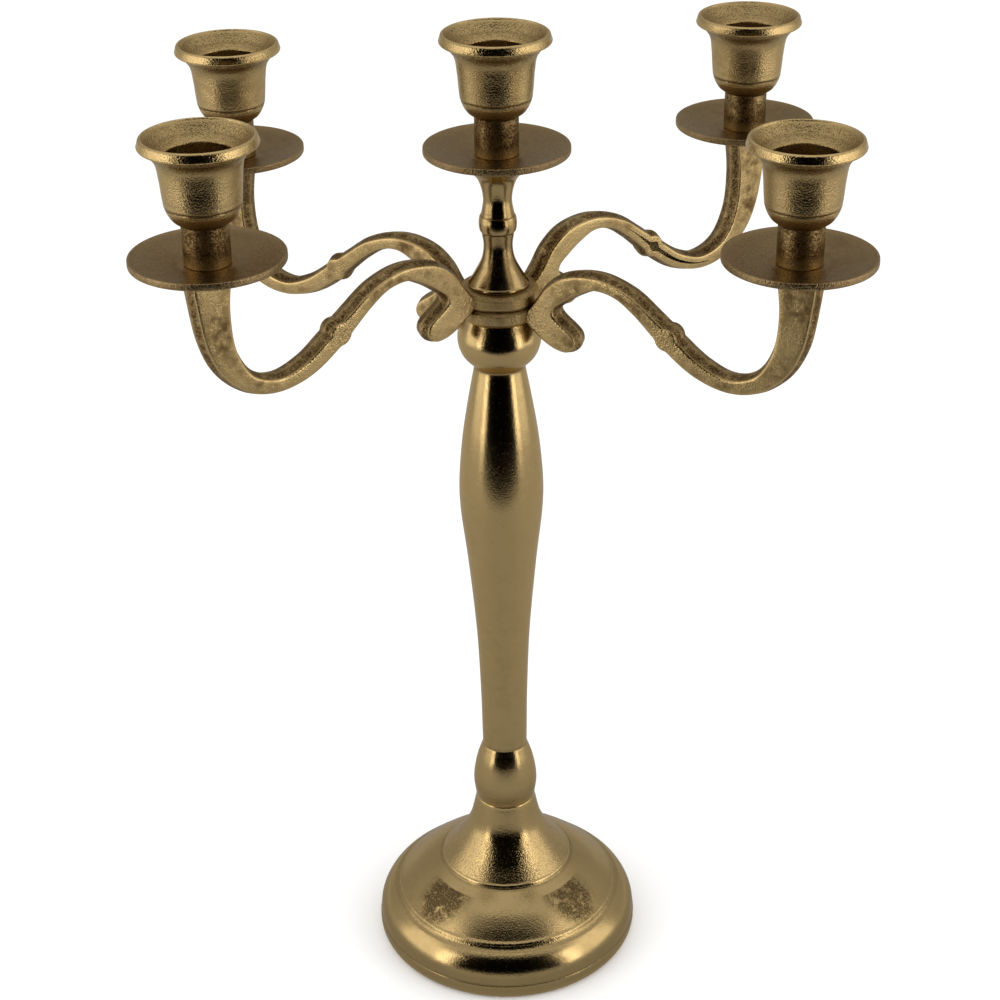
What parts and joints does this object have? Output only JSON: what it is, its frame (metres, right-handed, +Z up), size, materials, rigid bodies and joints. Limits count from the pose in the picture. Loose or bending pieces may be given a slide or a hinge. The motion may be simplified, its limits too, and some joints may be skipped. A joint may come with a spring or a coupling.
{
  "type": "tabletop candelabra",
  "caption": "Tabletop candelabra: turned stem on a bell foot, S-shaped arm castings that swivel on the stem, and a bell cup over a round drip plate for every candle.",
  "frame": {"origin": "bottom centre of the foot, on the table", "axes": "+Z up the column; the arms lie either side of the X axis, and -Y is the side seen from the front"},
  "size_m": [0.2622, 0.1928, 0.4],
  "materials": {
    "polished_casting": "turned and polished cast brass, pale antique gold, fine grain left in places",
    "flat_sided_casting": "sand-cast brass with linished flat sides and darker, rougher edges",
    "brushed_plate": "flat brass disc, finely brushed, satin, slightly darkened",
    "grained_casting": "sand-cast brass, lightly polished over a visible grain, dark in the recesses",
    "steel_fasteners": "plain zinc-plated steel"
  },
  "bodies": {
    "column": {"foot": "polished_casting", "foot_washer": "steel_fasteners", "foot_bolt": "steel_fasteners", "stem": "polished_casting", "stem_stud": "steel_fasteners", "spindle": "polished_casting", "drip_plate_centre": "brushed_plate", "candle_cup_centre": "grained_casting", "cup_screw_centre": "steel_fasteners"},
    "lower_arms": {"lower_arm_pair": "flat_sided_casting", "drip_plate_lower_left": "brushed_plate", "candle_cup_lower_left": "grained_casting", "cup_screw_lower_left": "steel_fasteners", "drip_plate_lower_right": "brushed_plate", "candle_cup_lower_right": "grained_casting", "cup_screw_lower_right": "steel_fasteners"},
    "upper_arms": {"upper_arm_pair": "flat_sided_casting", "drip_plate_upper_left": "brushed_plate", "candle_cup_upper_left": "grained_casting", "cup_screw_upper_left": "steel_fasteners", "drip_plate_upper_right": "brushed_plate", "candle_cup_upper_right": "grained_casting", "cup_screw_upper_right": "steel_fasteners"}
  },
  "joints": [
    {"name": "lower_arms_swivel", "type": "hinge", "parent": "column", "child": "lower_arms", "pos_m": [0, 0, 0.2944], "axis": [0, 0, 1], "range_deg": [-180, 180]},
    {"name": "upper_arms_swivel", "type": "hinge", "parent": "lower_arms", "child": "upper_arms", "pos_m": [0, 0, 0.3005], "axis": [0, 0, 1], "range_deg": [-30, 78]}
  ]
}
